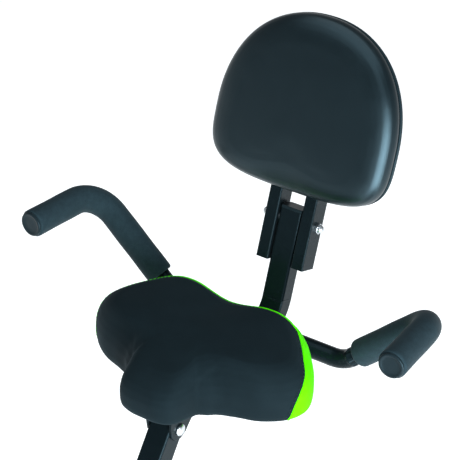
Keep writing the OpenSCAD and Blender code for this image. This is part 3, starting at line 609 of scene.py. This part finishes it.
# Its underside: the recess over the base plate, and how much shallower the nose is
PLATE_RECESS = 10.5
NOSE_RISE = 2.5
# Edge from the top's rim to the underside: (inset, share of the height)
SADDLE_EDGE = [
    (30, 1.0), (22, 0.965), (16, 0.91), (8, 0.79), (3, 0.65), (0, 0.47), (0, 0.2), (1.5, 0.08), (5, 0.0)
]


def saddle_top(x, y):
    """Height of the saddle's top: it climbs from the nose to two lobes with a hollow between them."""
    side = abs(x)
    rise = NOSE_TOP + CLIMB * smoothstep(y, -190, -70)
    hollow = HOLLOW * math.exp(-((x / 34) ** 2)) * smoothstep(y, -105, -15)
    return rise - hollow - LOBE_FALL * smoothstep(side, 70, 155)


def saddle_under(x, y):
    """Height of the underside, with a recess over the base plate and a shallower nose."""
    plate_half = 73 - 30 * min(1.0, max(0.0, (-y - 100) / 52))
    plate = smoothstep(plate_half - abs(x), 0, 2) * smoothstep(y, -156, -153) * smoothstep(3 - y, 0, 2)
    nose = NOSE_RISE * smoothstep(-y, 125, 160)
    return SADDLE_BASE + max(PLATE_RECESS * plate, nose)


def seam_y(x, z):
    """How far back the seam between the black cover and the green rear panel lies."""
    side = abs(x)
    crest_y = np.interp(side, CREST[:, 0], CREST[:, 1])
    crest_z = np.interp(side, CREST[:, 0], CREST[:, 2])
    below = max(0.0, crest_z - z)
    return crest_y - SEAM_REACH * (1 - math.exp(-below / SEAM_FALL))


# Both cushions: squares along a side of the grid, the face's share of it, and how they are puffed
CUSHION_GRID = 44
FACE_SHARE = 0.36
PRESSURE = 2.5
SWELL = 4 * MM


def edge_profile(profile, share):
    """(inset, share of the height) at a share of the way along an edge profile."""
    stations = np.linspace(0, 1, len(profile))
    insets, heights = zip(*profile)
    return np.interp(share, stations, insets), np.interp(share, stations, heights)


def cushion_form(divisions, reach, edge, face_share, place):
    """Points and faces of a closed cushion: a face, a rounded edge and a back.

    reach gives the outline's distance by angle, and place turns (x, y, share of height) to a point.
    """
    directions, faces = quad_sphere(divisions)
    points = []
    for d in directions:
        angle = math.atan2(d.y, d.x)
        share = math.acos(max(-1.0, min(1.0, d.z))) / math.pi
        outer = reach(angle)
        if share < face_share:
            radius, height = share / face_share * (outer - edge[0][0]), edge[0][1]
        elif share > 1 - face_share:
            radius, height = (1 - share) / face_share * (outer - edge[-1][0]), edge[-1][1]
        else:
            inset, height = edge_profile(edge, (share - face_share) / (1 - 2 * face_share))
            radius = outer - inset
        points.append(place(radius * math.cos(angle), radius * math.sin(angle), height))
    return points, facing_out(points, faces)


def saddle_place(x, y, height):
    y += SADDLE_CENTRE.y
    low, high = saddle_under(x, y), saddle_top(x, y)
    return seat_point(x, y, low + height * (high - low))


def make_saddle():
    half = [Vector(p) - SADDLE_CENTRE for p in SADDLE_HALF]
    other = [Vector((-p.x, p.y)) for p in half[-2:0:-1]]
    reach = radius_by_angle(smooth_closed(half + other))
    points, faces = cushion_form(CUSHION_GRID, reach, SADDLE_EDGE, FACE_SHARE, saddle_place)
    fine = once_subdivided("saddle", puffed(points, faces, PRESSURE, SWELL), faces)
    shell = cut_at_seam(fine)
    seam = seam_line(shell)
    make_piping(seam)
    make_stitches(seam, BVHTree.FromBMesh(shell))
    cover, panel = shell_pieces(shell)
    shell.free()
    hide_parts("saddle_cushion")
    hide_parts("saddle_trim")


def in_seat(v):
    """A frame point's place in the seat's millimetres."""
    return (v - SEAT_ORIGIN) / MM


SEAM_POINTS = 180
PIPING_RADIUS = 1.4 * MM
THREAD_RADIUS = 0.4 * MM
THREAD_RISE = 0.45 * MM
STITCH_ASIDE = 4.5 * MM
PANEL_THICKNESS = 0.9 * MM
# The cover steps in by a little more than the panel's thickness.
PANEL_STEP = 1.3 * MM


def cut_at_seam(mesh):
    """The saddle's mesh with a clean line of edges along the seam, and behind marked on its faces."""
    shell = bmesh.new()
    shell.from_mesh(mesh)
    for v in shell.verts:
        at = in_seat(v.co)
        v.co.y -= MM * seam_y(at.x, at.z) + SEAT_ORIGIN.y
    everything = shell.verts[:] + shell.edges[:] + shell.faces[:]
    bmesh.ops.bisect_plane(shell, geom=everything, plane_co=(0, 0, 0), plane_no=(0, 1, 0), dist=1e-5)
    behind = shell.faces.layers.int.new("behind")
    for f in shell.faces:
        f[behind] = int(f.calc_center_median().y > 0)
    for v in shell.verts:
        at = in_seat(v.co)
        v.co.y += MM * seam_y(at.x, at.z) + SEAT_ORIGIN.y
    return shell


def seam_line(shell):
    """(point, normal) pairs along the seam, from one lower edge over the back to the other."""
    behind = shell.faces.layers.int["behind"]
    shell.normal_update()
    joins = {}
    for edge in shell.edges:
        faces = edge.link_faces
        if len(faces) == 2 and faces[0][behind] != faces[1][behind]:
            a, b = edge.verts
            if min(in_seat(a.co).z, in_seat(b.co).z) > SADDLE_BASE + 2:
                joins.setdefault(a, []).append(b)
                joins.setdefault(b, []).append(a)
    at = max((v for v in joins if len(joins[v]) == 1), key=lambda v: v.co.x)
    line = [at]
    while True:
        onward = [v for v in joins[line[-1]] if v not in line[-2:]]
        if not onward:
            break
        line.append(onward[0])
    points = np.array([tuple(v.co) for v in line])
    normals = np.array([tuple(v.normal) for v in line])
    for _ in range(6):
        for values in (points, normals):
            values[1:-1] = (values[:-2] + 2 * values[1:-1] + values[2:]) / 4
    even = np.arange(0, 1, 1 / SEAM_POINTS)
    along = np.cumsum(np.r_[0, np.linalg.norm(np.diff(points, axis=0), axis=1)])
    spread = [[np.interp(even, along / along[-1], v[:, i]) for i in range(3)] for v in (points, normals)]
    return [(Vector(p), Vector(n).normalized()) for p, n in zip(*(np.transpose(v) for v in spread))]


def make_piping(seam):
    path = [point for point, _ in seam]
    rings = sweep(path, lambda start, end: PIPING_RADIUS, sides=12)
    add_mesh("saddle_piping", *loft(rings), "lime_fabric", "seat_slider")


def make_stitches(seam, surface):
    """A row of thread stitches on the black cover, beside the seam."""
    stitches = []
    for i in range(2, len(seam) - 2, 2):
        (start, normal), (end, _) = seam[i], seam[i + 1]
        aside = normal.cross(end - start).normalized()
        aside *= -STITCH_ASIDE if aside.y > 0 else STITCH_ASIDE
        low, high = (surface.find_nearest(p + aside)[0] for p in (start, end))
        middle = (low + high) / 2 + THREAD_RISE * normal
        rings = sweep([low, middle, high], lambda begin, rest: THREAD_RADIUS, sides=6)
        stitches.append(loft(rings))
    add_mesh("saddle_stitches", *joined(stitches), "black_plastic", "seat_slider")


def shell_pieces(shell):
    """The black cover as a closed form that steps in under the green panel, and the panel itself."""
    behind = shell.faces.layers.int["behind"]
    shell.normal_update()
    panel = shell.copy()
    rear = panel.faces.layers.int["behind"]
    bmesh.ops.delete(panel, geom=[f for f in panel.faces if not f[rear]], context="FACES")
    for v in shell.verts:
        if v.link_faces and all(f[behind] for f in v.link_faces):
            v.co -= v.normal * PANEL_STEP
    cover = mesh_piece("saddle_cover", shell, "black_fabric", "seat_slider")
    green = mesh_piece("saddle_rear_panel", panel, "lime_fabric", "seat_slider")
    panel.free()
    thicken(green, PANEL_THICKNESS)
    return cover, green


def mesh_piece(name, form, slot, body):
    mesh = bpy.data.meshes.new(name)
    form.to_mesh(mesh)
    piece = bpy.data.objects.new(name, mesh)
    bpy.context.scene.collection.objects.link(piece)
    return dress(piece, slot, body)


def thicken(piece, thickness):
    solid = piece.modifiers.new("Thickness", "SOLIDIFY")
    solid.thickness = thickness
    solid.offset = -1


# ---------------------------------------------------------------- backrest pad

PAD_WIDTH = 265
PAD_HEIGHT = 229.5
PAD_BOTTOM = 43
PAD_LOW = 82
PAD_BACK = 6.5
SHELL_DEPTH = 10.5
PAD_DEPTH = 44
PAD_CROWN = 4
# How round the outline is above and below its widest line: 1 is an ellipse and 0 is square.
ROUND_ABOVE = 0.92
ROUND_BELOW = 0.53


def pad_point(x, forward, up):
    """A point in the pad's own axes, in millimetres: across, forward of the pivot's plane, and up."""
    turned = Matrix.Rotation(-PAD_LEAN, 3, "X") @ Vector((x, -forward, up))
    return BACK_PIVOT + MM * turned


def pad_outline(inset, count=192):
    """The pad's outline, rounder above its widest line than below it."""
    outline = []
    for i in range(count):
        angle = 2 * math.pi * i / count
        up = math.sin(angle) >= 0
        power = ROUND_ABOVE if up else ROUND_BELOW
        half = (PAD_HEIGHT - PAD_LOW if up else PAD_LOW) - inset
        across = (PAD_WIDTH / 2 - inset) * signed_power(math.cos(angle), power)
        outline.append((across, half * signed_power(math.sin(angle), power)))
    return outline


def signed_power(value, power):
    return math.copysign(abs(value) ** power, value)


# Cushion edge from the front face's rim to the groove at the back shell: (inset, share of the depth)
PAD_EDGE = [
    (36, 1.0), (27, 0.965), (19, 0.905), (12, 0.82), (7, 0.72), (3.2, 0.58), (1, 0.43), (0, 0.28),
    (0, 0.14), (1.2, 0.04), (3.5, 0.0)
]
# Back shell from its flat back to its lip: (inset, depth)
SHELL_EDGE = [
    (34, 0.9), (31, 0.0), (12, 0.0), (7, 0.6), (3.4, 2.2), (1.2, 4.6), (0.2, 7.2), (0, 9.4),
    (0.6, 10.2), (2.2, 10.5), (6, 10.5)
]


def crown(x, y):
    """How far the pad's face stands out, from 0 at its outline to 1 in the middle."""
    across = x / (PAD_WIDTH / 2)
    half = PAD_HEIGHT - PAD_LOW if y > 0 else PAD_LOW
    return max(0.0, 1 - across**2) * max(0.0, 1 - (y / half) ** 2)


def pad_place(x, y, height):
    depth = SHELL_DEPTH + height * (PAD_DEPTH - SHELL_DEPTH - PAD_CROWN + PAD_CROWN * crown(x, y))
    return pad_point(x, PAD_BACK + depth, PAD_BOTTOM + PAD_LOW + y)


def make_backrest():
    reach = radius_by_angle(pad_outline(0, 720))
    points, faces = cushion_form(CUSHION_GRID, reach, PAD_EDGE, FACE_SHARE, pad_place)
    fine = once_subdivided("pad", puffed(points, faces, PRESSURE, SWELL), faces)
    pad = bpy.data.objects.new("backrest_pad", fine)
    bpy.context.scene.collection.objects.link(pad)
    dress(pad, "black_vinyl", "backrest")
    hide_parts("backrest_cushion")
    rings = []
    for inset, depth in SHELL_EDGE:
        outline = pad_outline(inset)
        rings.append([pad_point(x, PAD_BACK + depth, PAD_BOTTOM + PAD_LOW + y) for x, y in outline])
    shell = add_mesh("backrest_back_shell", *loft(rings), "black_plastic", "backrest")
    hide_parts("backrest_board")


# ---------------------------------------------------------------- grips

FOAM_RADIUS = 18.4 * MM
HANDLE_BEND = 46 * MM
HANDLE_CORNER = (133, 63, 724)
GRIP_CORNER = (262, 61, 843)
GRIP_END = (271, -60, 848)
FOAM_GAP = 33 * MM
# End plug of a grip: (distance past the tube's end, radius)
PLUG = [
    (-1, 11.5), (0.4, 16.2), (1.6, 16.6), (2.6, 16.1), (3.1, 15), (3.2, 13.6), (2.4, 12.4), (2.0, 11),
    (2.1, 6), (2.2, 1)
]


def foam_radius(from_start, from_end, radius=FOAM_RADIUS):
    """Foam sleeve: rounded over its last millimetres, and a little uneven along its length."""
    ends = min(from_start, from_end)
    rounding = 3 * MM
    drop = rounding - math.sqrt(max(0.0, rounding**2 - max(0.0, rounding - ends) ** 2))
    return radius - 0.6 * drop + 0.12 * MM * math.sin(from_start / (9 * MM))


def make_seat_grip(side, name, node):
    mirror = Vector((side, 1, 1))
    corner, bend, end = (seat_point(*p) * mirror for p in (HANDLE_CORNER, GRIP_CORNER, GRIP_END))
    start = corner + (bend - corner).normalized() * FOAM_GAP
    path = bent_path([start, bend, end], HANDLE_BEND, 2 * MM)
    grip = add_mesh(name, *loft(sweep(path, foam_radius)), "black_foam", "seat_slider")
    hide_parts(node)
    out = (end - bend).normalized()
    return lathe(name.replace("foam", "plug"), PLUG, end, out, "black_plastic", "seat_slider")


POST_LEAN = math.radians(25)


def up_post(distance):
    """A place on the console post's middle line, in millimetres from the folding pivot."""
    along = Vector((0, -math.sin(POST_LEAN), math.cos(POST_LEAN)))
    return Vector(JOINTS["frame_fold"]["pos_m"]) + distance * MM * along


# The handlebar, from its middle: across, back and up
HANDLEBAR = up_post(645.5)
HORN_BEND = 45 * MM
HORN_FOAM_RADIUS = 16.2 * MM
HORN_START = (88, 0, 0)
HORN_CORNER = (190, 0, 0)
HORN_END = (206, -122.7, 35.4)


def make_handlebar_grip(side, name):
    mirror = Vector((side, 1, 1))
    corners = [HANDLEBAR + MM * Vector(p) * mirror for p in (HORN_START, HORN_CORNER, HORN_END)]
    path = bent_path(corners, HORN_BEND, 2 * MM)
    rings = sweep(path, lambda start, end: foam_radius(start, end, HORN_FOAM_RADIUS))
    grip = add_mesh(name, *loft(rings), "black_foam", "folding_frame")
    return grip


# ---------------------------------------------------------------- bolts and the console

# Domed nut and button head over their CAD cores: (distance along the axis, radius) from the face
NUT_DOME = [(3.6, 6.1), (5.5, 5.75), (7.5, 4.9), (8.8, 4.0), (9.6, 2.6), (9.9, 0.8)]
BUTTON_HEAD = [(0, 8.3), (1.2, 8.3), (2.8, 7.5), (4.1, 5.8), (4.7, 3.2), (4.9, 0.5)]


NUT_FACE = 36 * MM
SEAT_BOLT_FACE = (19.2, -136, 690)


def make_bolt_heads():
    for side, name in ((1, "backrest_nut_left"), (-1, "backrest_nut_right")):
        face = BACK_PIVOT + Vector((side * NUT_FACE, 0, 0))
        lathe(name, NUT_DOME, face, (side, 0, 0), "bright_zinc", "backrest", sides=24)
    face = seat_point(*SEAT_BOLT_FACE)
    lathe("seat_bolt_head", BUTTON_HEAD, face, (1, 0, 0), "bright_zinc", "seat_slider", sides=32)


CONSOLE_TURN = Matrix.Rotation(math.radians(-40), 3, "X")
CONSOLE = up_post(694)
SCREEN_MIDDLE = -32
SCREEN_FACE = 17.6
# Strokes of a seven-segment digit: (across, up, is upright)
STROKES = {
    "top": (0, 7, False), "middle": (0, 0, False), "bottom": (0, -7, False),
    "high_left": (-4.2, 3.5, True), "high_right": (4.2, 3.5, True),
    "low_left": (-4.2, -3.5, True), "low_right": (4.2, -3.5, True),
}
ZERO = [stroke for stroke in STROKES if stroke != "middle"]


def on_console(across, up, height):
    """A point of the display, in millimetres from its middle as the rider sees it."""
    return CONSOLE + MM * (CONSOLE_TURN @ Vector((-across, SCREEN_MIDDLE - up, height)))


def display_bar(across, up, width, height):
    """A thin raised block of the display, with its corners drawn in at the top."""
    rings = []
    for inset, level in ((0, SCREEN_FACE - 0.2), (0, SCREEN_FACE + 0.2), (0.2, SCREEN_FACE + 0.3)):
        w, h = width / 2 - inset, height / 2 - inset
        corners = ((-w, -h), (w, -h), (w, h), (-w, h))
        rings.append([on_console(across + x, up + y, level) for x, y in corners])
    return loft(rings)


def make_display():
    bars = []
    for place in (-27, -13, 7, 21):
        for name in ZERO:
            across, up, upright = STROKES[name]
            size = (1.5, 5.6) if upright else (6.8, 1.5)
            bars.append(display_bar(place + across, 6 + up, *size))
    bars += [display_bar(-3, 6 + up, 1.8, 1.8) for up in (-3, 3)]
    bars += [display_bar(-38 + 6.4 * i, -16 + 0.5 * i, 4.4, 3 + i) for i in range(13)]
    add_mesh("display_segments", *joined(bars), "black_plastic", "folding_frame")


# ---------------------------------------------------------------- CAD parts


def dress_cad():
    """Every CAD node gets its slot's material, and its repeated vertices are merged for shading."""
    slots = {part["node"]: part["material_slot"] for part in frame["record"]["subparts"]}
    for name, node in NODES.items():
        node.data.materials.clear()
        node.data.materials.append(MATERIALS[slots[name]])
        weld = node.modifiers.new("Weld", "WELD")
        weld.merge_threshold = 0.005 * MM


# ---------------------------------------------------------------- camera, light and floor


def look_from(location, target, kind):
    holder = bpy.data.objects.new(kind.name, kind)
    bpy.context.scene.collection.objects.link(holder)
    holder.location = location
    holder.rotation_euler = (Vector(target) - Vector(location)).to_track_quat("-Z", "Y").to_euler()
    return holder


CAMERA_ROUND = math.radians(35)
CAMERA_UP = math.radians(32)
CAMERA_DISTANCE = 2.4
CAMERA_AIM_HEIGHT = 0.905


def make_camera():
    target = Vector((0, SEAT_ORIGIN.y, CAMERA_AIM_HEIGHT))
    level = Vector((math.sin(CAMERA_ROUND), -math.cos(CAMERA_ROUND), 0)) * math.cos(CAMERA_UP)
    away = level + Vector((0, 0, math.sin(CAMERA_UP)))
    lens = bpy.data.cameras.new("camera")
    lens.lens = 152.3
    lens.sensor_width = 36
    camera = look_from(target + CAMERA_DISTANCE * away, target, lens)
    bpy.context.scene.camera = camera


def area_light(name, location, target, size, power, colour):
    light = bpy.data.lights.new(name, "AREA")
    light.shape = "RECTANGLE"
    light.size, light.size_y = size
    light.energy = power
    light.color = colour
    look_from(location, target, light)


def light_by_height(tree):
    """A studio that is bright towards the horizon and dim overhead."""
    place = tree.nodes.new("ShaderNodeTexCoord")
    split = tree.nodes.new("ShaderNodeSeparateXYZ")
    fall = tree.nodes.new("ShaderNodeMapRange")
    fall.inputs["To Min"].default_value = 0.6
    fall.inputs["To Max"].default_value = 0.12
    fall.inputs["From Max"].default_value = 0.5
    background = tree.nodes["Background"]
    background.inputs["Color"].default_value = (0.9, 0.96, 1.0, 1.0)
    tree.links.new(place.outputs["Generated"], split.inputs[0])
    tree.links.new(split.outputs["Z"], fall.inputs["Value"])
    tree.links.new(fall.outputs["Result"], background.inputs["Strength"])


FLOOR_HALF = 40.0


def make_studio():
    seat = (0, SEAT_ORIGIN.y, 0.85)
    cool = (0.86, 0.95, 1.0)
    area_light("overhead_softbox", (0, 0, 4.5), (0, 0, 0), (5, 5), 130, cool)
    area_light("key_softbox", (2.15, SEAT_ORIGIN.y - 1.6, 0.95), seat, (1.9, 1.9), 175, cool)
    world = bpy.data.worlds.new("studio")
    world.use_nodes = True
    light_by_height(world.node_tree)
    bpy.context.scene.world = world
    bpy.context.scene.view_settings.view_transform = "Standard"
    corners = [(x * FLOOR_HALF, y * FLOOR_HALF, 0) for x, y in ((-1, -1), (1, -1), (1, 1), (-1, 1))]
    mesh = bpy.data.meshes.new("floor")
    mesh.from_pydata(corners, [], [(0, 1, 2, 3)])
    floor = bpy.data.objects.new("floor", mesh)
    bpy.context.scene.collection.objects.link(floor)
    mesh.materials.append(studio_floor())


make_camera()
make_studio()
dress_cad()
make_saddle()
make_backrest()
plugs = [
    make_seat_grip(1, "seat_foam_left", "seat_grip_left"),
    make_seat_grip(-1, "seat_foam_right", "seat_grip_right"),
]
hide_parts("seat_handle_caps")
horns = [make_handlebar_grip(1, "handlebar_foam_left"), make_handlebar_grip(-1, "handlebar_foam_right")]
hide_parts("handlebar_grips")
make_bolt_heads()
make_display()
